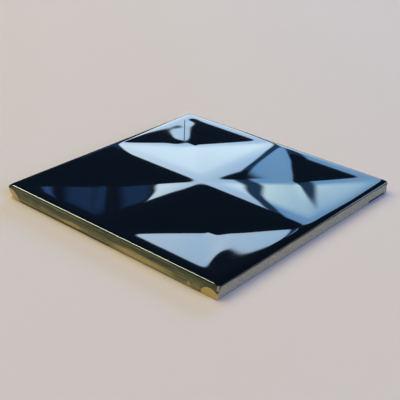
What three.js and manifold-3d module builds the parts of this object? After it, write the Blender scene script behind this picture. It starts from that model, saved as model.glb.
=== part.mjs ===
// Square ceramic wall tile with a pressed relief and a dark glaze.
// Four shallow square funnels are sunk in the face, two by two. A flat rim frames them
// and soft ridges at the rim's height part them. The back is flat, with two low spots at
// its edges. All sizes are in millimetres, +Z is up, and the origin is the middle of the back.

import * as THREE from 'three';
import { mergeVertices } from 'three/addons/utils/BufferGeometryUtils.js';
import Module from 'manifold-3d';

const wasm = await Module();
wasm.setup();

// Outer size
const tileSide = 150;
const tileThickness = 8.1;
const topEdgeRadius = 1.3;
const cornerRadius = 0.9;
const backChamfer = 0.25;

// The rim bends gently down towards the sides, before the edge is rounded
const crownWidth = 4.2;
const crownRadius = 17;

// Relief on the face. The widths run to where the facets would meet the rim's height unrounded.
const rimWidth = 3.6;
const ridgeWidth = 9.5;
const funnelDepth = 2.04;
const ridgeRounding = 4.9;
const creaseRounding = 5.8;

// Low spots in the back, where the tile doesn't meet what it lies on
const frontLowSpot = { from: 7, length: 73, height: 0.5, reach: 14 };
const sideLowSpot = { from: 130, length: 16.5, height: 0.5, reach: 12 };

// Fineness of the mesh
const facetSteps = 10;
const ridgeSteps = 4;
const edgeSteps = 3;
const cornerSteps = 3;

const halfSide = tileSide / 2;
const borderInset = Math.max(topEdgeRadius, cornerRadius);
const fieldHalf = halfSide - borderInset;
const funnelCentre = (halfSide - rimWidth + ridgeWidth / 2) / 2;
const funnelHalf = (halfSide - rimWidth - ridgeWidth / 2) / 2;

// The larger of two values, with the corner between them rounded over a width
function softMax(a, b, width) {
  const overlap = Math.max(width - Math.abs(a - b), 0);
  return Math.max(a, b) + overlap * overlap / (4 * width);
}

// How far the face lies below the rim at a point. Each funnel is a square pyramid upside down.
function sunkBy(x, y) {
  const u = Math.abs(Math.abs(x) - funnelCentre);
  const v = Math.abs(Math.abs(y) - funnelCentre);
  const inside = funnelHalf - softMax(u, v, creaseRounding);
  return funnelDepth * softMax(inside, 0, ridgeRounding) / funnelHalf;
}

// How far the rim has bent down at a distance from one pair of sides
function crownDrop(along) {
  const past = Math.max(crownWidth - halfSide + Math.abs(along), 0);
  return past * past / (2 * crownRadius);
}

function faceHeight(x, y) {
  return tileThickness - sunkBy(x, y) - crownDrop(x) - crownDrop(y);
}

// Places of the grid lines: close together where the face is rounded, wider on the facets
function gridLines() {
  const flat = funnelHalf - ridgeRounding;
  const offsets = [];
  for (let i = 0; i <= facetSteps; i++) {
    offsets.push(-flat + 2 * flat * i / facetSteps);
  }
  for (let i = 1; i <= ridgeSteps; i++) {
    const reach = flat + 2 * ridgeRounding * i / ridgeSteps;
    offsets.push(-reach, reach);
  }
  const smallestGap = tileSide / 500;
  const places = offsets.map((offset) => funnelCentre + offset).sort((a, b) => a - b);
  const half = [0];
  for (const place of places) {
    if (place > half.at(-1) + smallestGap && place < fieldHalf - smallestGap) half.push(place);
  }
  half.push(fieldHalf);
  const mirrored = half.slice(1).map((place) => -place).reverse();
  return [...mirrored, ...half];
}

const lines = gridLines();

// One ring of the tile's outline, set in from its sides: four straight runs with round corners.
// Its height is a function of the place.
function outline(inset, height) {
  const centre = halfSide - Math.max(cornerRadius, inset);
  const radius = Math.max(cornerRadius - inset, 0);
  const quarter = lines.map((place) => [halfSide - inset, place]);
  for (let i = 0; i <= cornerSteps; i++) {
    const angle = i / cornerSteps * Math.PI / 2;
    quarter.push([centre + radius * Math.cos(angle), centre + radius * Math.sin(angle)]);
  }
  const ring = [];
  for (let side = 0; side < 4; side++) {
    for (const [x, y] of quarter) {
      const turned = [[x, y], [-y, x], [-x, -y], [y, -x]][side];
      ring.push([...turned, height(...turned)]);
    }
  }
  return ring;
}

// Triangles of the face. Each cell is split along its funnel's crease.
function faceTriangles() {
  const triangles = [];
  const point = (x, y) => [x, y, faceHeight(x, y)];
  for (let i = 0; i + 1 < lines.length; i++) {
    for (let j = 0; j + 1 < lines.length; j++) {
      const [west, east] = [lines[i], lines[i + 1]];
      const [south, north] = [lines[j], lines[j + 1]];
      const x = (west + east) / 2;
      const y = (south + north) / 2;
      const corners = [point(west, south), point(east, south), point(east, north), point(west, north)];
      const rising = x * y * (Math.abs(x) - funnelCentre) * (Math.abs(y) - funnelCentre) > 0;
      const [a, b, c, d] = rising ? corners : [...corners.slice(1), corners[0]];
      triangles.push([a, b, c], [a, c, d]);
    }
  }
  return triangles;
}

// Triangles of the rounded edge, the side walls, the chamfer and the back
function wallTriangles() {
  const rings = [outline(borderInset, faceHeight)];
  for (let i = 0; i <= edgeSteps; i++) {
    const angle = i / edgeSteps * Math.PI / 2;
    const inset = topEdgeRadius * (1 - Math.sin(angle));
    const drop = topEdgeRadius * (1 - Math.cos(angle));
    rings.push(outline(inset, (x, y) => faceHeight(x, y) - drop));
  }
  rings.push(outline(0, () => backChamfer), outline(backChamfer, () => 0));
  const triangles = [];
  for (let r = 0; r + 1 < rings.length; r++) {
    const [upper, lower] = [rings[r], rings[r + 1]];
    for (let i = 0; i < upper.length; i++) {
      const next = (i + 1) % upper.length;
      triangles.push([upper[i], lower[i], lower[next]], [upper[i], lower[next], upper[next]]);
    }
  }
  const last = rings.at(-1);
  last.forEach((corner, i) => triangles.push([[0, 0, 0], last[(i + 1) % last.length], corner]));
  return triangles;
}

// A closed mesh from triangles that share their corners, without those that have no area
function closedMesh(triangles) {
  const geometry = new THREE.BufferGeometry();
  geometry.setAttribute('position', new THREE.Float32BufferAttribute(triangles.flat(2), 3));
  const merged = mergeVertices(geometry, 1e-4);
  const index = [];
  for (let i = 0; i < merged.index.count; i += 3) {
    const [a, b, c] = merged.index.array.slice(i, i + 3);
    if (a !== b && b !== c && c !== a) index.push(a, b, c);
  }
  merged.setIndex(index);
  return merged;
}

function toSolid(geometry) {
  const bare = geometry.clone();
  bare.deleteAttribute('normal');
  bare.deleteAttribute('uv');
  const merged = mergeVertices(bare, 1e-4);
  return new wasm.Manifold(new wasm.Mesh({
    numProp: 3,
    vertProperties: new Float32Array(merged.attributes.position.array),
    triVerts: new Uint32Array(merged.index.array),
  }));
}

function toGeometry(solid) {
  const mesh = solid.getMesh();
  const geometry = new THREE.BufferGeometry();
  geometry.setAttribute('position', new THREE.BufferAttribute(mesh.vertProperties, 3));
  geometry.setIndex(new THREE.BufferAttribute(mesh.triVerts, 1));
  geometry.computeVertexNormals();
  return geometry;
}

// The wedge that a low spot takes off the back. It is deepest at the tile's side and runs out
// to nothing further in. It is drawn along the front side and then turned about the origin.
function lowSpotCutter(spot, turn) {
  const past = spot.height;
  const slope = spot.height / spot.reach;
  const section = new THREE.Shape();
  section.moveTo(halfSide - spot.reach, 0);
  section.lineTo(halfSide - spot.reach - past, -past);
  section.lineTo(halfSide + past, -past);
  section.lineTo(halfSide + past, spot.height + past * slope);
  section.closePath();
  const wedge = new THREE.ExtrudeGeometry(section, { depth: spot.length, bevelEnabled: false });
  wedge.rotateX(Math.PI / 2);
  wedge.translate(0, spot.from + spot.length - halfSide, 0);
  wedge.rotateZ(turn);
  return toSolid(wedge);
}

function tileBody() {
  const blank = toSolid(closedMesh([...faceTriangles(), ...wallTriangles()]));
  const frontSpot = lowSpotCutter(frontLowSpot, -Math.PI / 2);
  const sideSpot = lowSpotCutter(sideLowSpot, 0);
  return toGeometry(blank.subtract(frontSpot).subtract(sideSpot));
}

const darkGlaze = new THREE.MeshStandardMaterial({
  name: 'dark_blue_glaze',
  color: 0x0c1722,
  roughness: 0.06,
  metalness: 0,
});

const tile = new THREE.Mesh(tileBody(), darkGlaze);
tile.name = 'tile';

const reliefTile = new THREE.Group();
reliefTile.add(tile);

export default reliefTile;
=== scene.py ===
import math
import bpy
import numpy as np
from mathutils import Matrix, Vector


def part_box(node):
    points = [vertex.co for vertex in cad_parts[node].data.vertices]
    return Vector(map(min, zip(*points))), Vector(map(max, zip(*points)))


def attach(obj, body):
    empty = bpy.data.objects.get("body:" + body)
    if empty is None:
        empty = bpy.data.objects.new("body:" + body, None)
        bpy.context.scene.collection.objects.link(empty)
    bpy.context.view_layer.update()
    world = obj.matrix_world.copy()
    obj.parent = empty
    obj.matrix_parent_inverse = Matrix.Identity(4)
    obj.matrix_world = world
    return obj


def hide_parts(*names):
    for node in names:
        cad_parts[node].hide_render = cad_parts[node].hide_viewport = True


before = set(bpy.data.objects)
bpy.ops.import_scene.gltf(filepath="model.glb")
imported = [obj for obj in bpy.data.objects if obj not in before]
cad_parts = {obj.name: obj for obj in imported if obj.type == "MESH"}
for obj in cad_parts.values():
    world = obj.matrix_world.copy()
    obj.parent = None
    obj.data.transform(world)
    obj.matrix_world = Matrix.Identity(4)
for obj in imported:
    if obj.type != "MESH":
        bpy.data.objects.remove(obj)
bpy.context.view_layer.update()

# A square relief tile with a dark glazed face, lying on a pale table in window light.
# The tile's lengths are millimetres and the studio's are metres.

mm = 0.001
scene = bpy.context.scene
scene.view_settings.view_transform = "Standard"

lowCorner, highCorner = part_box("tile")
halfSide = (highCorner.x - lowCorner.x) / 2 / mm
thickness = (highCorner.z - lowCorner.z) / mm

# Sockets by place. Map Range: 0 the value, 1 and 2 where it runs from and to, 3 and 4 what it gives.
# Mix: 0 the share, 2 and 3 two numbers, 6 and 7 two colours.
mathNode = "ShaderNodeMath"
vectorNode = "ShaderNodeVectorMath"
rangeNode = "ShaderNodeMapRange"
noiseNode = "ShaderNodeTexNoise"
mixNode = "ShaderNodeMix"


def linear(code):  # sRGB hex to the linear colour that Blender's sockets take
    parts = [int(code[i:i + 2], 16) / 255 for i in (1, 3, 5)]
    return [p / 12.92 if p <= 0.04045 else ((p + 0.055) / 1.055) ** 2.4 for p in parts] + [1.0]


def addNode(tree, kind, values=(), **settings):  # values by place or by name: numbers, nodes or sockets
    node = tree.nodes.new(kind)
    for name, setting in settings.items():
        setattr(node, name, setting)
    for key, value in (values.items() if isinstance(values, dict) else enumerate(values)):
        if isinstance(value, bpy.types.Node):
            value = next(socket for socket in value.outputs if socket.enabled)
        if isinstance(value, bpy.types.NodeSocket):
            tree.links.new(value, node.inputs[key])
        else:
            node.inputs[key].default_value = value
    return node


def placeObject(name, data):
    thing = bpy.data.objects.new(name, data)
    scene.collection.objects.link(thing)
    return thing


# The camera stands off the near corner and looks down at the face
cameraView = {
    "place": (0.2753, -0.3242, 0.2151),
    "azimuth": 40.39,
    "elevation": 27.19,
    "roll": 1.48,
    "lens": 76.6,
}


def makeCamera(view):
    azimuth, elevation, roll = (math.radians(view[key]) for key in ("azimuth", "elevation", "roll"))
    across = math.cos(elevation)
    back = Vector((math.sin(azimuth) * across, -math.cos(azimuth) * across, math.sin(elevation)))
    right = Vector((0, 0, 1)).cross(back).normalized()
    turned = Matrix((right, back.cross(right), back)).transposed().to_4x4()
    data = bpy.data.cameras.new("camera")
    data.lens = view["lens"]
    data.clip_start, data.clip_end = 0.01, 50
    camera = placeObject("camera", data)
    camera.matrix_world = Matrix.Translation(view["place"]) @ turned @ Matrix.Rotation(roll, 4, "Z")
    scene.camera = camera


makeCamera(cameraView)
print("camera placed")


# The fired tile. Its relief is the frame's, on a finer mesh. Above the share movesFrom of their
# height, the walls move with the relief. Bare clay lies glazeStep further in, over the heights of
# stepHeight and below them.
tile = {
    "edgeRadius": 1.3,
    "cornerRadius": 0.9,
    "backChamfer": 0.25,
    "crownWidth": 4.2,
    "crownRadius": 17.0,
    "rimWidth": 3.6,
    "ridgeWidth": 9.5,
    "funnelDepth": 2.04,
    "ridgeRounding": 4.9,
    "creaseRounding": 5.8,
    "movesFrom": 0.4,
    "waveHeight": 0.012,
    "waveLength": 20.0,
    "glazeStep": 0.14,
    "stepHeight": (6.6, 5.8),
    "faceCells": 220,
    "cornerCells": 8,
    "edgeCells": 9,
    "wallCells": 14,
    "backInsets": (3, 7, 11, 14, 24),
}
# Flaws of the press: soft mounds and dips in the face, by centre, spread, turn and height
mounds = (
    {"centre": (-49.7, 35.9), "spread": (3.2, 6.8), "turn": 33, "height": 0.166},
    {"centre": (-65.5, 62.5), "spread": (4.0, 3.6), "turn": 40, "height": -0.06},
    {"centre": (-61.5, 49.0), "spread": (3.0, 4.5), "turn": 10, "height": -0.04},
    {"centre": (56.6, -52.3), "spread": (2.6, 10.5), "turn": 22, "height": 0.131},
)
crack = {"ends": ((-68, 62), (-46.5, 37.5)), "halfWidth": 0.3, "roughness": 0.8}
# The foot of the left corner, by how far up, how wide and how deep it is worn
wornCorner = {"height": 4.5, "width": 5.0, "depth": 1.5}
# Where the back is low at a side: from, to and how far in. Only what lies below movesBelow rises.
lowSpots = {"height": 0.5, "movesBelow": 1.5, "near": (-68, 5, 14), "right": (55, 71.5, 12)}


def blankMesh(tile):
    field = halfSide - tile["edgeRadius"]
    line = np.linspace(-field, field, tile["faceCells"] + 1)
    arc = np.linspace(0, math.pi / 2, tile["cornerCells"] + 1)
    verts, faces, known = [], [], {}

    def vert(x, y, z):
        key = (round(x, 4), round(y, 4), round(z, 4))
        if key not in known:
            known[key] = len(verts)
            verts.append((x * mm, y * mm, z * mm))
        return known[key]

    def addFace(*corners):
        kept = [v for i, v in enumerate(corners) if v != corners[i - 1]]
        if len(kept) > 2:
            faces.append(kept)

    def ring(inset, z):
        centre = halfSide - max(tile["cornerRadius"], inset)
        radius = max(tile["cornerRadius"] - inset, 0)
        reach = min(1, (halfSide - inset) / field)
        quarter = [(halfSide - inset, y * reach) for y in line]
        quarter += [(centre + radius * math.cos(turn), centre + radius * math.sin(turn)) for turn in arc]
        turned = [((x, y), (-y, x), (-x, -y), (y, -x)) for x, y in quarter]
        return [vert(*places[side], z) for side in range(4) for places in turned]

    for south, north in zip(line, line[1:]):
        for west, east in zip(line, line[1:]):
            corners = (west, south), (east, south), (east, north), (west, north)
            addFace(*(vert(x, y, thickness) for x, y in corners))
    rings = [ring(tile["edgeRadius"], thickness)]
    for turn in np.linspace(0, math.pi / 2, tile["edgeCells"] + 1):
        inset = tile["edgeRadius"] * (1 - math.sin(turn))
        rings.append(ring(inset, thickness - tile["edgeRadius"] * (1 - math.cos(turn))))
    for z in np.linspace(thickness - tile["edgeRadius"], tile["backChamfer"], tile["wallCells"] + 1)[1:]:
        rings.append(ring(0, z))
    rings += [ring(tile["backChamfer"], 0)] + [ring(inset, 0) for inset in tile["backInsets"]]
    for upper, lower in zip(rings, rings[1:]):
        for i in range(len(upper)):
            addFace(upper[i - 1], lower[i - 1], lower[i], upper[i])
    middle = vert(0, 0, 0)
    for i in range(len(rings[-1])):
        addFace(rings[-1][i - 1], middle, rings[-1][i])
    mesh = bpy.data.meshes.new("tile_blank")
    mesh.from_pydata(verts, [], faces)
    return mesh


blank = placeObject("tile_blank", blankMesh(tile))
print("blank mesh:", len(blank.data.polygons), "faces")


# How the glaze ran down the sides. Heights are above the back, insets are from a side, and a size
# runs along a side and up it. An edge is a share of a mark's half size. A pair says where a change
# starts and where it is full. What thickens the glaze by a number below zero thins it.
run = {
    "wobbleLength": 7,
    "reachWobble": 1.5,
    "reachInset": (1.2, 0.7),
    "lipWobble": 1.4,
    "lipHeight": (5.9, 6.2),
    "streakSize": (24, 1.5, 1),
    "streakThickens": 0.9,
    "rippleSize": (6, 0.8, 1),
    "rippleThickens": 0.48,
    "riseHeight": (1.5, 6.0),
    "riseThickness": (-0.31, 0.19),
    "bareEdge": (1.03, 0.97),
    "beadEdge": (1.3, 1.08),
    "beadThickens": 0.15,
    "thinEdge": (1.3, 0.55),
    "thinMarkThickens": -0.38,
    "bandHeight": 6.9,
    "bandHalf": (0.45, 0.1),
    "bandThickens": -0.26,
    "footHeight": (1.9, 0.9),
    "footAlong": (4.0, 7.0),
    "footBrown": (0.95, 0.25),
    "lineEdge": (1.2, 0.7),
    "lineBrown": 0.9,
    # dripThickness gives the pale part first: thinner glaze that paints the drip's highlight
    "dripInset": (0.9, 0.6),
    "dripEdge": (1.15, 0.85),
    "dripThickness": (0.3, 1.0),
}
# Marks on the glazed sides. Along counts from the near side's middle, round the left corner too.
# The glaze has drawn back from the bare ones, is brown in the dark ones and thin over the thin ones.
bareMarks = (
    {"along": 70.3, "height": 0.4, "half": (5.4, 4.6), "slant": 0.0},
    {"along": -71.5, "height": 0.5, "half": (6.9, 9.0), "slant": -0.85},
)
darkMarks = (
    {"along": 75.84, "height": 3.8, "half": (0.45, 1.9), "slant": -0.367},
    {"along": -62.8, "height": 4.6, "half": (0.5, 2.6), "slant": -0.85},
)
thinMarks = (
    {"along": 27, "height": 2.6, "half": (19, 1.9), "slant": 0.0},
    {"along": -23, "height": 2.1, "half": (7, 1.5), "slant": 0.0},
    {"along": 57.6, "height": 1.5, "half": (0.9, 1.8), "slant": 0.0},
    {"along": -110, "height": 2.4, "half": (16, 1.6), "slant": 0.0},
    {"along": -190, "height": 2.7, "half": (12, 1.8), "slant": 0.0},
)
# A drip that hangs round the near corner: dark, with a painted highlight beside it, drawn as a pale patch
# of thinner glaze
drip = {"dark": (-73.1, 6.2), "darkHalf": (0.8, 0.8), "pale": (-74.0, 5.9), "paleHalf": (1.1, 1.5)}


def addMarks(tree, along, z, marks):
    # How far a place is from the nearest mark's middle, where 1 is the mark's border
    nearest = None
    for mark in marks:
        leaned = addNode(tree, mathNode, (z, -mark["slant"], along), operation="MULTIPLY_ADD")
        spot = addNode(tree, "ShaderNodeCombineXYZ", (leaned, z))
        away = addNode(tree, vectorNode, (spot, (mark["along"], mark["height"], 0)), operation="SUBTRACT")
        away = addNode(tree, vectorNode, (away, (*mark["half"], 1)), operation="DIVIDE")
        away = addNode(tree, vectorNode, (away,), operation="LENGTH")
        if nearest is not None:
            away = addNode(tree, mathNode, (nearest, away), operation="MINIMUM")
        nearest = away
    return nearest


def addGlazeRule(tree, place):
    # Where the glaze lies, from a place in metres. The shape and the colour both use it, so they agree.
    # It gives the place in millimetres, the cover (0 on bare clay, 1 on glaze), runDown (1 on the
    # sides that took the glaze), how thick the glaze is, where it drew back, and where it is brown.
    scaled = addNode(tree, vectorNode, {0: place, "Scale": 1 / mm}, operation="SCALE")
    x, y, z = addNode(tree, "ShaderNodeSeparateXYZ", (scaled,)).outputs
    wobble = addNode(tree, noiseNode, {"Vector": scaled, "Scale": 1 / run["wobbleLength"], "Detail": 2.0})
    wobble = addNode(tree, mathNode, (wobble, 0.5), operation="SUBTRACT")
    left = addNode(tree, mathNode, (x, -1.0), operation="MULTIPLY")
    near = addNode(tree, mathNode, (y, -1.0), operation="MULTIPLY")

    # the near and left sides took the glaze, and a little ran round their ends
    reach = addNode(tree, mathNode, (left, near), operation="MAXIMUM")
    reach = addNode(tree, mathNode, (wobble, run["reachWobble"], reach), operation="MULTIPLY_ADD")
    start, end = (halfSide - inset for inset in run["reachInset"])
    runDown = addNode(tree, rangeNode, {0: reach, 1: start, 2: end})

    # elsewhere it stops in a wavy line below the rounded edge
    lip = addNode(tree, mathNode, (wobble, run["lipWobble"], z), operation="MULTIPLY_ADD")
    start, end = run["lipHeight"]
    dipped = addNode(tree, rangeNode, {0: lip, 1: start, 2: end})
    along = addNode(tree, mathNode, (x, y), operation="SUBTRACT")
    along = addNode(tree, mathNode, (along, halfSide), operation="SUBTRACT")
    nearest = addMarks(tree, along, z, bareMarks)
    start, end = run["bareEdge"]
    bare = addNode(tree, rangeNode, {0: nearest, 1: start, 2: end})
    bare = addNode(tree, mathNode, (bare, runDown), operation="MULTIPLY")
    glazed = addNode(tree, mathNode, (1.0, bare), operation="SUBTRACT")
    glazed = addNode(tree, mathNode, (glazed, runDown), operation="MULTIPLY")
    cover = addNode(tree, mathNode, (glazed, dipped), operation="MAXIMUM")

    # thinner towards the foot and over the marks, with level streaks as it ran
    spot = addNode(tree, "ShaderNodeCombineXYZ", (along, z))
    streaks = addNode(tree, vectorNode, (spot, run["streakSize"]), operation="DIVIDE")
    streaks = addNode(tree, noiseNode, {"Vector": streaks, "Scale": 1.0, "Detail": 2.0})
    ripples = addNode(tree, vectorNode, (spot, run["rippleSize"]), operation="DIVIDE")
    ripples = addNode(tree, noiseNode, {"Vector": ripples, "Scale": 1.0, "Detail": 2.0})
    thin = addMarks(tree, along, z, thinMarks)
    start, end = run["thinEdge"]
    thin = addNode(tree, rangeNode, {0: thin, 1: start, 2: end}, interpolation_type="SMOOTHSTEP")
    start, end = run["beadEdge"]
    bead = addNode(tree, rangeNode, {0: nearest, 1: start, 2: end})

    # a pale line runs along the rounded edge
    band = addNode(tree, mathNode, (z, run["bandHeight"]), operation="SUBTRACT")
    band = addNode(tree, mathNode, (band,), operation="ABSOLUTE")
    start, end = run["bandHalf"]
    band = addNode(tree, rangeNode, {0: band, 1: start, 2: end})

    (start, end), (thinnest, thickest) = run["riseHeight"], run["riseThickness"]
    thick = addNode(tree, rangeNode, {0: z, 1: start, 2: end, 3: thinnest, 4: thickest})
    changes = (
        (streaks, run["streakThickens"]),
        (ripples, run["rippleThickens"]),
        (thin, run["thinMarkThickens"]),
        (bead, run["beadThickens"]),
        (band, run["bandThickens"]),
    )
    for part, change in changes:
        thick = addNode(tree, mathNode, (part, change, thick), operation="MULTIPLY_ADD")

    # brown towards the foot, most of all towards the left, and iron brown where the glaze gathered beside
    # the bare marks
    start, end = run["footHeight"]
    foot = addNode(tree, rangeNode, {0: z, 1: start, 2: end})
    (start, end), (most, least) = run["footAlong"], run["footBrown"]
    share = addNode(tree, rangeNode, {0: along, 1: start, 2: end, 3: most, 4: least})
    brown = addNode(tree, mathNode, (foot, share), operation="MULTIPLY")
    start, end = run["lineEdge"]
    line = addMarks(tree, along, z, darkMarks)
    line = addNode(tree, rangeNode, {0: line, 1: start, 2: end, 4: run["lineBrown"]})
    brown = addNode(tree, mathNode, (brown, line), operation="MAXIMUM")

    # the drip lies on the right side, beside the near corner; its pale part is a painted highlight
    start, end = (halfSide - inset for inset in run["dripInset"])
    onRight = addNode(tree, rangeNode, {0: x, 1: start, 2: end})
    hanging = addNode(tree, "ShaderNodeCombineXYZ", (y, z))
    shares = []
    start, end = run["dripEdge"]
    for part in ("dark", "pale"):
        away = addNode(tree, vectorNode, (hanging, (*drip[part], 0)), operation="SUBTRACT")
        away = addNode(tree, vectorNode, (away, (*drip[part + "Half"], 1)), operation="DIVIDE")
        away = addNode(tree, vectorNode, (away,), operation="LENGTH")
        share = addNode(tree, rangeNode, {0: away, 1: start, 2: end})
        shares.append(addNode(tree, mathNode, (share, onRight), operation="MULTIPLY"))
    inDrip = addNode(tree, mathNode, shares, operation="MAXIMUM")
    paintedHighlightThickness, darkThickness = run["dripThickness"]
    dripThick = addNode(tree, rangeNode, {0: shares[0], 3: paintedHighlightThickness, 4: darkThickness})
    thick = addNode(tree, mixNode, {0: inDrip, 2: thick, 3: dripThick})
    cover = addNode(tree, mathNode, (cover, inDrip), operation="MAXIMUM")
    runDown = addNode(tree, mathNode, (runDown, inDrip), operation="MAXIMUM")
    return {"x": x, "y": y, "z": z, "cover": cover, "runDown": runDown, "thick": thick, "bare": bare,
            "brown": brown}


def addMounds(tree, place):
    # How high all mounds and dips together stand at a place, each one a bell curve
    total = 0.0
    for mound in mounds:
        centre = (mound["centre"][0] * mm, mound["centre"][1] * mm, 0)
        values = {"Vector": place, "Center": centre, "Angle": -math.radians(mound["turn"])}
        turned = addNode(tree, "ShaderNodeVectorRotate", values, rotation_type="Z_AXIS")
        away = addNode(tree, vectorNode, (turned, centre), operation="SUBTRACT")
        spread = (mound["spread"][0] * mm, mound["spread"][1] * mm, 1)
        away = addNode(tree, vectorNode, (away, spread), operation="DIVIDE")
        away = addNode(tree, vectorNode, (away, (1, 1, 0)), operation="MULTIPLY")
        away = addNode(tree, vectorNode, (away, away), operation="DOT_PRODUCT")
        fade = addNode(tree, mathNode, (away, -0.5), operation="MULTIPLY")
        fade = addNode(tree, mathNode, (fade,), operation="EXPONENT")
        total = addNode(tree, mathNode, (fade, mound["height"] * mm, total), operation="MULTIPLY_ADD")
    return total


def reliefTree():
    tree = bpy.data.node_groups.new("reliefPress", "GeometryNodeTree")
    tree.interface.new_socket("Geometry", in_out="INPUT", socket_type="NodeSocketGeometry")
    for name in ("Half Side", "Thickness", "Rim Width", "Ridge Width", "Funnel Depth",
                 "Ridge Rounding", "Crease Rounding", "Crown Width", "Crown Radius",
                 "Wave Height", "Wave Length", "Glaze Step", "Low Spot"):
        tree.interface.new_socket(name, in_out="INPUT", socket_type="NodeSocketFloat")
    tree.interface.new_socket("Material", in_out="INPUT", socket_type="NodeSocketMaterial")
    tree.interface.new_socket("Geometry", in_out="OUTPUT", socket_type="NodeSocketGeometry")
    given = addNode(tree, "NodeGroupInput").outputs
    place = addNode(tree, "GeometryNodeInputPosition").outputs[0]
    x, y, z = addNode(tree, "ShaderNodeSeparateXYZ", (place,)).outputs

    # square funnels: the facets fall from the ridges and the rim, with every crease rounded
    ridgeHalf = addNode(tree, mathNode, (given["Ridge Width"], 0.5), operation="MULTIPLY")
    outer = addNode(tree, mathNode, (given["Half Side"], given["Rim Width"]), operation="SUBTRACT")
    centre = addNode(tree, mathNode, (outer, ridgeHalf), operation="ADD")
    centre = addNode(tree, mathNode, (centre, 0.5), operation="MULTIPLY")
    half = addNode(tree, mathNode, (outer, ridgeHalf), operation="SUBTRACT")
    half = addNode(tree, mathNode, (half, 0.5), operation="MULTIPLY")
    ways = []
    for way in (x, y):
        away = addNode(tree, mathNode, (way,), operation="ABSOLUTE")
        away = addNode(tree, mathNode, (away, centre), operation="SUBTRACT")
        ways.append(addNode(tree, mathNode, (away,), operation="ABSOLUTE"))
    # Blender's smooth maximum takes half as much again as the frame's to lift a crease as high
    blendShare = 1.5
    creaseBlend = addNode(tree, mathNode, (given["Crease Rounding"], blendShare), operation="MULTIPLY")
    ridgeBlend = addNode(tree, mathNode, (given["Ridge Rounding"], blendShare), operation="MULTIPLY")
    crease = addNode(tree, mathNode, (*ways, creaseBlend), operation="SMOOTH_MAX")
    inside = addNode(tree, mathNode, (half, crease), operation="SUBTRACT")
    inside = addNode(tree, mathNode, (inside, 0.0, ridgeBlend), operation="SMOOTH_MAX")
    sunk = addNode(tree, mathNode, (inside, half), operation="DIVIDE")
    sunk = addNode(tree, mathNode, (sunk, given["Funnel Depth"]), operation="MULTIPLY")

    # slow waves in the glaze, always downwards so that the tile keeps its height
    closeness = addNode(tree, mathNode, (1.0, given["Wave Length"]), operation="DIVIDE")
    wave = addNode(tree, vectorNode, {0: place, "Scale": closeness}, operation="SCALE")
    wave = addNode(tree, noiseNode, {"Vector": wave, "Scale": 1.0, "Detail": 1.0})
    sunk = addNode(tree, mathNode, (wave, given["Wave Height"], sunk), operation="MULTIPLY_ADD")
    raised = addNode(tree, mathNode, (addMounds(tree, place), sunk), operation="SUBTRACT")

    # the rim bends down towards the sides, and takes the top of the wall with it
    crownFrom = addNode(tree, mathNode, (given["Half Side"], given["Crown Width"]), operation="SUBTRACT")
    for way in (x, y):
        past = addNode(tree, mathNode, (way,), operation="ABSOLUTE")
        past = addNode(tree, mathNode, (past, crownFrom), operation="SUBTRACT")
        past = addNode(tree, mathNode, (past, 0.0), operation="MAXIMUM")
        past = addNode(tree, mathNode, (past, past), operation="MULTIPLY")
        past = addNode(tree, mathNode, (past, given["Crown Radius"]), operation="DIVIDE")
        raised = addNode(tree, mathNode, (past, -0.5, raised), operation="MULTIPLY_ADD")
    faceFrom = addNode(tree, mathNode, (given["Thickness"], tile["movesFrom"]), operation="MULTIPLY")
    onFace = addNode(tree, rangeNode, {0: z, 1: faceFrom, 2: given["Thickness"]})
    raised = addNode(tree, mathNode, (raised, onFace), operation="MULTIPLY")

    # on the sides bare clay lies a little further in than the glaze beside it
    rule = addGlazeRule(tree, place)
    uncovered = addNode(tree, mathNode, (1.0, rule["cover"]), operation="SUBTRACT")
    start, end = tile["stepHeight"]
    low = addNode(tree, rangeNode, {0: rule["z"], 1: start, 2: end})
    inward = addNode(tree, mathNode, (uncovered, low), operation="MULTIPLY")
    inward = addNode(tree, mathNode, (inward, given["Glaze Step"]), operation="MULTIPLY")
    inward = addNode(tree, mathNode, (inward, -1.0), operation="MULTIPLY")
    normal = addNode(tree, "GeometryNodeInputNormal")
    outwards = addNode(tree, vectorNode, (normal, (1, 1, 0)), operation="MULTIPLY")
    shift = addNode(tree, vectorNode, {0: outwards, "Scale": inward}, operation="SCALE")

    # the left corner's foot is worn away
    fromCorner = addNode(tree, mathNode, (x, y), operation="ADD")
    fromCorner = addNode(tree, mathNode, (fromCorner, -2 * halfSide * mm), operation="SUBTRACT")
    worn = addNode(tree, rangeNode, {0: fromCorner, 1: wornCorner["width"] * mm, 2: 0.0})
    wornLow = addNode(tree, rangeNode, {0: z, 1: wornCorner["height"] * mm, 2: 0.0})
    worn = addNode(tree, mathNode, (worn, wornLow), operation="MULTIPLY")
    worn = addNode(tree, mathNode, (worn, wornCorner["depth"] * mm), operation="MULTIPLY")
    worn = addNode(tree, vectorNode, {0: (1, 1, 0), "Scale": worn}, operation="SCALE")
    shift = addNode(tree, vectorNode, (shift, worn), operation="ADD")

    # low spots: the back rises towards the side
    onBack = addNode(tree, mathNode, (z, lowSpots["movesBelow"] * mm), operation="LESS_THAN")
    across = {"near": addNode(tree, mathNode, (y, -1.0), operation="MULTIPLY"), "right": x}
    for side, way in (("near", x), ("right", y)):
        start, end, reach = (length * mm for length in lowSpots[side])
        within = addNode(tree, mathNode, (way, start), operation="GREATER_THAN")
        before = addNode(tree, mathNode, (way, end), operation="LESS_THAN")
        within = addNode(tree, mathNode, (within, before), operation="MULTIPLY")
        edge = halfSide * mm
        rise = addNode(tree, rangeNode, {0: across[side], 1: edge - reach, 2: edge, 4: given["Low Spot"]})
        rise = addNode(tree, mathNode, (rise, z), operation="SUBTRACT")
        rise = addNode(tree, mathNode, (rise, 0.0), operation="MAXIMUM")
        rise = addNode(tree, mathNode, (rise, within), operation="MULTIPLY")
        raised = addNode(tree, mathNode, (rise, onBack, raised), operation="MULTIPLY_ADD")

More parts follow.
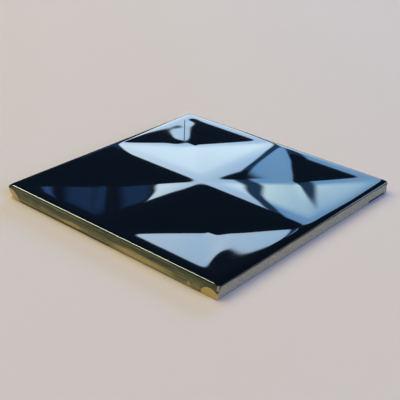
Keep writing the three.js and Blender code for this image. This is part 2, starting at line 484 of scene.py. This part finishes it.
    lift = addNode(tree, "ShaderNodeCombineXYZ", {"Z": raised})
    offset = addNode(tree, vectorNode, (shift, lift), operation="ADD")
    moved = addNode(tree, "GeometryNodeSetPosition", {"Geometry": given["Geometry"], "Offset": offset})
    smooth = addNode(tree, "GeometryNodeSetShadeSmooth", (moved,))
    real = addNode(tree, "GeometryNodeRealizeInstances", (smooth,))
    painted = addNode(tree, "GeometryNodeSetMaterial", {"Geometry": real, "Material": given["Material"]})
    addNode(tree, "NodeGroupOutput", (painted,))
    return tree


# Glazed earthenware: near-black blue glaze with a mirror gloss on the face, thin and olive where
# it ran down two sides, and dry buff clay where there is none.
glaze = {
    "face": "#050b13",
    "faceInset": (0.8, 1.05),
    "thin": ((0.0, "#cbbc82"), (0.3, "#aea676"), (0.45, "#8a8b62"), (0.62, "#5e6842"), (0.8, "#465230"),
             (1.0, "#1f2614")),
    "bare": "#d8c47c",
    "brown": "#463214",
    "clay": ("#98917b", "#bdb69b"),
    # the next four settings paint a shadow on the right side's foot, where the back is low
    "gapShadow": "#34363c",
    "gapShadowHeight": (1.85, 1.45),
    "gapShadowInset": (1.0, 0.8),
    "gapShadowFade": 0.5,
    "grain": 0.9,
    "grainRange": (0.35, 0.65),
    "faceRoughness": 0.03,
    "thinRoughness": 0.35,
    "bareRoughness": 0.35,
    "clayRoughness": 0.85,
    "ior": 1.55,
}


def tileMaterial(glaze):
    material = bpy.data.materials.new("darkBlueGlazedEarthenware")
    material.use_nodes = True
    tree = material.node_tree
    shader = tree.nodes["Principled BSDF"]
    shader.inputs["IOR"].default_value = glaze["ior"]
    place = addNode(tree, "ShaderNodeTexCoord").outputs["Object"]
    rule = addGlazeRule(tree, place)

    # the full thickness of glaze lies on the face, down to the turn of its rounded edge
    ways = [addNode(tree, mathNode, (rule[way],), operation="ABSOLUTE") for way in ("x", "y")]
    sideways = addNode(tree, mathNode, ways, operation="MAXIMUM")
    start, end = (halfSide - inset for inset in glaze["faceInset"])
    inner = addNode(tree, rangeNode, {0: sideways, 1: start, 2: end})
    lower = addNode(tree, mathNode, (1.0, inner), operation="SUBTRACT")
    runDown = addNode(tree, mathNode, (rule["runDown"], lower), operation="MULTIPLY")
    cover = addNode(tree, mathNode, (rule["cover"], inner), operation="MAXIMUM")

    ramp = addNode(tree, "ShaderNodeValToRGB", (rule["thick"],))
    stops = ramp.color_ramp.elements
    stops[0].position, stops[0].color = glaze["thin"][0][0], linear(glaze["thin"][0][1])
    stops[1].position, stops[1].color = glaze["thin"][-1][0], linear(glaze["thin"][-1][1])
    for position, code in glaze["thin"][1:-1]:
        stops.new(position).color = linear(code)
    grit = addNode(tree, noiseNode, {"Vector": place, "Scale": 1 / (glaze["grain"] * mm), "Detail": 3.0})
    start, end = glaze["grainRange"]
    grit = addNode(tree, rangeNode, {0: grit, 1: start, 2: end})
    darkClay, paleClay = (linear(code) for code in glaze["clay"])
    clay = addNode(tree, mixNode, {0: grit, 6: darkClay, 7: paleClay}, data_type="RGBA")
    clay = addNode(tree, mixNode, {0: rule["bare"], 6: clay, 7: linear(glaze["bare"])}, data_type="RGBA")

    # painted shadow: the right side's foot is painted dark where the back is low, standing in for the
    # shade in the gap under it
    nearEnd, farEnd, _ = lowSpots["right"]
    fade = glaze["gapShadowFade"]
    bounds = (
        ("x", *(halfSide - inset for inset in glaze["gapShadowInset"])),
        ("y", nearEnd - fade, nearEnd + fade),
        ("y", farEnd + fade, farEnd - fade),
    )
    start, end = glaze["gapShadowHeight"]
    gapShadow = addNode(tree, rangeNode, {0: rule["z"], 1: start, 2: end})
    for way, clear, full in bounds:
        part = addNode(tree, rangeNode, {0: rule[way], 1: clear, 2: full})
        gapShadow = addNode(tree, mathNode, (gapShadow, part), operation="MULTIPLY")
    clay = addNode(tree, mixNode, {0: gapShadow, 6: clay, 7: linear(glaze["gapShadow"])}, data_type="RGBA")

    brown = linear(glaze["brown"])
    thinGlaze = addNode(tree, mixNode, {0: rule["brown"], 6: ramp, 7: brown}, data_type="RGBA")
    glazed = addNode(tree, mixNode, {0: runDown, 6: linear(glaze["face"]), 7: thinGlaze}, data_type="RGBA")
    colour = addNode(tree, mixNode, {0: cover, 6: clay, 7: glazed}, data_type="RGBA")
    tree.links.new(colour.outputs[2], shader.inputs["Base Color"])

    dry = addNode(tree, mixNode, {0: rule["bare"], 2: glaze["clayRoughness"], 3: glaze["bareRoughness"]})
    wet = addNode(tree, mixNode, {0: runDown, 2: glaze["faceRoughness"], 3: glaze["thinRoughness"]})
    rough = addNode(tree, mixNode, {0: cover, 2: dry, 3: wet})

    # a hairline crack in the far left funnel scatters the light
    start, end = (Vector((*spot, 0)) for spot in crack["ends"])
    line = end - start
    fromStart = addNode(tree, vectorNode, {0: place, "Scale": 1 / mm}, operation="SCALE")
    fromStart = addNode(tree, vectorNode, (fromStart, start), operation="SUBTRACT")
    fromStart = addNode(tree, vectorNode, (fromStart, (1, 1, 0)), operation="MULTIPLY")
    share = addNode(tree, vectorNode, (fromStart, line / line.length_squared), operation="DOT_PRODUCT")
    share = addNode(tree, rangeNode, {0: share})
    onLine = addNode(tree, vectorNode, {0: line, "Scale": share}, operation="SCALE")
    away = addNode(tree, vectorNode, (fromStart, onLine), operation="DISTANCE")
    inCrack = addNode(tree, rangeNode, {0: away, 1: crack["halfWidth"], 2: crack["halfWidth"] / 2})
    rough = addNode(tree, mixNode, {0: inCrack, 2: rough, 3: crack["roughness"]})
    tree.links.new(rough.outputs[0], shader.inputs["Roughness"])
    return material


def finishTile():
    tree = reliefTree()
    press = blank.modifiers.new("relief press", "NODES")
    press.node_group = tree
    settings = {
        "Half Side": halfSide * mm,
        "Thickness": thickness * mm,
        "Rim Width": tile["rimWidth"] * mm,
        "Ridge Width": tile["ridgeWidth"] * mm,
        "Funnel Depth": tile["funnelDepth"] * mm,
        "Ridge Rounding": tile["ridgeRounding"] * mm,
        "Crease Rounding": tile["creaseRounding"] * mm,
        "Crown Width": tile["crownWidth"] * mm,
        "Crown Radius": tile["crownRadius"] * mm,
        "Wave Height": tile["waveHeight"] * mm,
        "Wave Length": tile["waveLength"] * mm,
        "Glaze Step": tile["glazeStep"] * mm,
        "Low Spot": lowSpots["height"] * mm,
        "Material": tileMaterial(glaze),
    }
    for socket in tree.interface.items_tree:
        if socket.in_out == "INPUT" and socket.name in settings:
            press[socket.identifier] = settings[socket.name]
    pressed = blank.evaluated_get(bpy.context.evaluated_depsgraph_get())
    piece = placeObject("glazed_tile", bpy.data.meshes.new_from_object(pressed))
    blank.modifiers.remove(press)
    bpy.data.objects.remove(blank)
    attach(piece, "root")
    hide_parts("tile")


finishTile()
print("tile pressed and glazed")


# A tall window beyond the table, seen only in the glaze: two bright panes, two dim ones at their
# left, a dim strip behind the gap and a low pane at their right. A pane taller than tallFrom
# shows a dull wall below the sill.
window = {
    "wall": 2.845,
    "foot": 0.05,
    "skyHeight": (1.32, 1.6),
    "tallFrom": 1.5,
    "sillHeight": (0.85, 1.2),
    "sill": "#888d94",
}
# Each pane's colours are those of the sky in it: low left, low right, high left, high right.
# The last two are in the wall behind the camera.
panes = (
    {"x": (-3.0, -1.96), "head": 1.895, "blend": 1.04, "soft": 0.045, "strength": 6.0,
     "sky": ("#c6dff0", "#cfe9fb", "#d0e6f8", "#a9cff3")},
    {"x": (-1.895, -1.1), "head": 1.93, "blend": 0.48, "soft": 0.045, "strength": 6.0,
     "sky": ("#c4e2ea", "#6a9fd0", "#6ea4d8", "#84abce")},
    {"x": (-3.33, -2.96), "head": 1.9, "blend": 1.0, "soft": 0.13, "strength": 0.66,
     "sky": ("#568cdc",) * 4},
    {"x": (-3.53, -3.365), "head": 1.92, "blend": 1.0, "soft": 0.08, "strength": 1.6,
     "sky": ("#568cdc",) * 4},
    {"x": (-2.1, -1.75), "wall": 2.855, "head": 1.9, "blend": 1.0, "soft": 0.03, "strength": 0.8,
     "sky": ("#5a92d0",) * 4},
    {"x": (1.2, 2.6), "head": 0.9, "blend": 1.0, "soft": 0.4, "strength": 9.0,
     "sky": ("#99c8f6",) * 4},
    {"x": (2.05, 3.1), "wall": -2.6, "head": 1.14, "blend": 1.0, "soft": 0.05, "strength": 3.0,
     "sky": ("#b9d8ee", "#c9e3f1", "#b9d8ee", "#c9e3f1")},
    {"x": (1.0, 1.95), "wall": -2.6, "head": 1.14, "blend": 1.0, "soft": 0.05, "strength": 3.0,
     "sky": ("#84b4da", "#a9cdea", "#84b4da", "#a9cdea")},
)


def skyMaterial(pane):
    material = bpy.data.materials.new("windowSky")
    material.use_nodes = True
    tree = material.node_tree
    tree.nodes.clear()
    place = addNode(tree, "ShaderNodeTexCoord").outputs["Object"]
    x, _, z = addNode(tree, "ShaderNodeSeparateXYZ", (place,)).outputs
    sideways = addNode(tree, rangeNode, {0: x, 1: pane["x"][0], 2: pane["x"][0] + pane["blend"]})
    start, end = window["skyHeight"]
    upwards = addNode(tree, rangeNode, {0: z, 1: start, 2: end})
    lowLeft, lowRight, highLeft, highRight = (linear(code) for code in pane["sky"])
    low = addNode(tree, mixNode, {0: sideways, 6: lowLeft, 7: lowRight}, data_type="RGBA")
    high = addNode(tree, mixNode, {0: sideways, 6: highLeft, 7: highRight}, data_type="RGBA")
    sky = addNode(tree, mixNode, {0: upwards, 6: low, 7: high}, data_type="RGBA")
    if pane["head"] > window["tallFrom"]:
        start, end = window["sillHeight"]
        aboveSill = addNode(tree, rangeNode, {0: z, 1: start, 2: end})
        sky = addNode(tree, mixNode, {0: aboveSill, 6: linear(window["sill"]), 7: sky}, data_type="RGBA")

    # every border but the lower one fades, as a blurred one does
    nearest = addNode(tree, mathNode, (x, pane["x"][0]), operation="SUBTRACT")
    for way, end in ((x, pane["x"][1]), (z, pane["head"])):
        toEnd = addNode(tree, mathNode, (end, way), operation="SUBTRACT")
        nearest = addNode(tree, mathNode, (nearest, toEnd), operation="MINIMUM")
    values = {0: nearest, 1: 0.0, 2: pane["soft"]}
    fade = addNode(tree, rangeNode, values, interpolation_type="SMOOTHSTEP")
    clear = addNode(tree, "ShaderNodeBsdfTransparent")
    glow = addNode(tree, "ShaderNodeEmission", (sky, pane["strength"]))
    glow = addNode(tree, "ShaderNodeMixShader", (fade, clear, glow))
    addNode(tree, "ShaderNodeOutputMaterial", (glow,))
    return material


def makePanes():
    for i, pane in enumerate(panes):
        (west, east), foot, head = pane["x"], window["foot"], pane["head"]
        y = pane.get("wall", window["wall"])
        corners = [(west, y, foot), (east, y, foot), (east, y, head), (west, y, head)]
        mesh = bpy.data.meshes.new("pane")
        mesh.from_pydata(corners, [], [(0, 1, 2, 3)])
        mesh.materials.append(skyMaterial(pane))
        card = placeObject(f"window_pane_{i + 1}", mesh)
        card.visible_diffuse = False
        card.visible_camera = False


makePanes()

# Heading is counted from +X towards +Y, in degrees. Only the strip shows in the glaze, and it
# lights nothing else.
lights = (
    {"name": "lamp", "heading": 207, "elevation": 58, "distance": 4.2, "size": (4.2, 4.2),
     "colour": (1.0, 0.736, 0.287), "power": 132.6, "mirrored": False},
    {"name": "lamp_strip", "heading": 169, "elevation": 50, "distance": 2.5, "size": (0.3, 1.3),
     "colour": (0.95, 1.0, 0.74), "power": 40.0, "mirrored": True, "lit": False},
    {"name": "high_light", "heading": 150, "elevation": 62, "distance": 4.0, "size": (3.0, 3.0),
     "colour": (0.88, 1.0, 0.93), "power": 18.9, "mirrored": False},
    {"name": "window_light", "heading": 113, "elevation": 21.0, "distance": 3.7, "size": (2.0, 0.8),
     "colour": (0.25, 0.47, 1.0), "power": 102.0, "mirrored": False},
    {"name": "fill", "heading": 10, "elevation": 35, "distance": 4.0, "size": (3.0, 3.0),
     "colour": (0.449, 0.554, 1.0), "power": 91.3, "mirrored": False},
)


def makeLight(given):
    data = bpy.data.lights.new(given["name"], "AREA")
    data.shape = "RECTANGLE"
    data.size, data.size_y = given["size"]
    data.color = given["colour"]
    data.energy = given["power"]
    light = placeObject(given["name"], data)
    heading, elevation = math.radians(given["heading"]), math.radians(given["elevation"])
    across = math.cos(elevation)
    way = Vector((math.cos(heading) * across, math.sin(heading) * across, math.sin(elevation)))
    turned = way.to_track_quat("Z", "Y").to_matrix().to_4x4()
    light.matrix_world = Matrix.Translation(way * given["distance"]) @ turned
    light.visible_glossy = given["mirrored"]
    light.visible_diffuse = given.get("lit", True)


for light in lights:
    makeLight(light)

# What lies around the table: weak light, a pale backdrop, and what the glaze mirrors of it, from
# pale near the floor to dark blue above
room = {
    "ambient": (0.01, 0.01, 0.012, 1.0),
    "backdrop": "#cdc8c8",
    "mirroredLow": (0.06, (0.8, 0.8, 0.8, 1.0)),
    "mirroredHigh": (0.22, (0.02, 0.04, 0.08, 1.0)),
}


def makeWorld():
    world = bpy.data.worlds.new("studio")
    scene.world = world
    world.use_nodes = True
    tree = world.node_tree
    tree.nodes.clear()
    way = addNode(tree, "ShaderNodeTexCoord").outputs["Generated"]
    height = addNode(tree, "ShaderNodeSeparateXYZ", (way,)).outputs[2]
    ramp = addNode(tree, "ShaderNodeValToRGB", (height,))
    stops = ramp.color_ramp.elements
    for stop, name in zip(stops, ("mirroredLow", "mirroredHigh")):
        stop.position, stop.color = room[name]
    mirrored = addNode(tree, "ShaderNodeBackground", (ramp, 1.0))
    ambient = addNode(tree, "ShaderNodeBackground", (room["ambient"], 1.0))
    backdrop = addNode(tree, "ShaderNodeBackground", (linear(room["backdrop"]), 1.0))
    ray = addNode(tree, "ShaderNodeLightPath").outputs
    mixed = addNode(tree, "ShaderNodeMixShader", (ray["Is Diffuse Ray"], mirrored, ambient))
    mixed = addNode(tree, "ShaderNodeMixShader", (ray["Is Camera Ray"], mixed, backdrop))
    addNode(tree, "ShaderNodeOutputWorld", (mixed,))


makeWorld()

# The table fades into the backdrop between the two distances of fade, to hide the horizon
table = {"reach": 8.0, "colour": (0.8, 0.8, 0.8, 1.0), "roughness": 0.8, "gloss": 0.1, "fade": (0.4, 0.95)}


def makeTable():
    reach = table["reach"]
    corners = [(-reach, -reach, 0), (reach, -reach, 0), (reach, reach, 0), (-reach, reach, 0)]
    mesh = bpy.data.meshes.new("table")
    mesh.from_pydata(corners, [], [(0, 1, 2, 3)])
    material = bpy.data.materials.new("paleTable")
    material.use_nodes = True
    tree = material.node_tree
    shader = tree.nodes["Principled BSDF"]
    shader.inputs["Base Color"].default_value = table["colour"]
    shader.inputs["Roughness"].default_value = table["roughness"]
    shader.inputs["Specular IOR Level"].default_value = table["gloss"]
    place = addNode(tree, "ShaderNodeTexCoord").outputs["Object"]
    away = addNode(tree, vectorNode, (place,), operation="LENGTH")
    start, end = table["fade"]
    fade = addNode(tree, rangeNode, {0: away, 1: start, 2: end}, interpolation_type="SMOOTHSTEP")
    clear = addNode(tree, "ShaderNodeBsdfTransparent")
    faded = addNode(tree, "ShaderNodeMixShader", (fade, shader, clear))
    tree.links.new(faded.outputs[0], tree.nodes["Material Output"].inputs["Surface"])
    mesh.materials.append(material)
    placeObject("table", mesh)


makeTable()
print("studio lit")
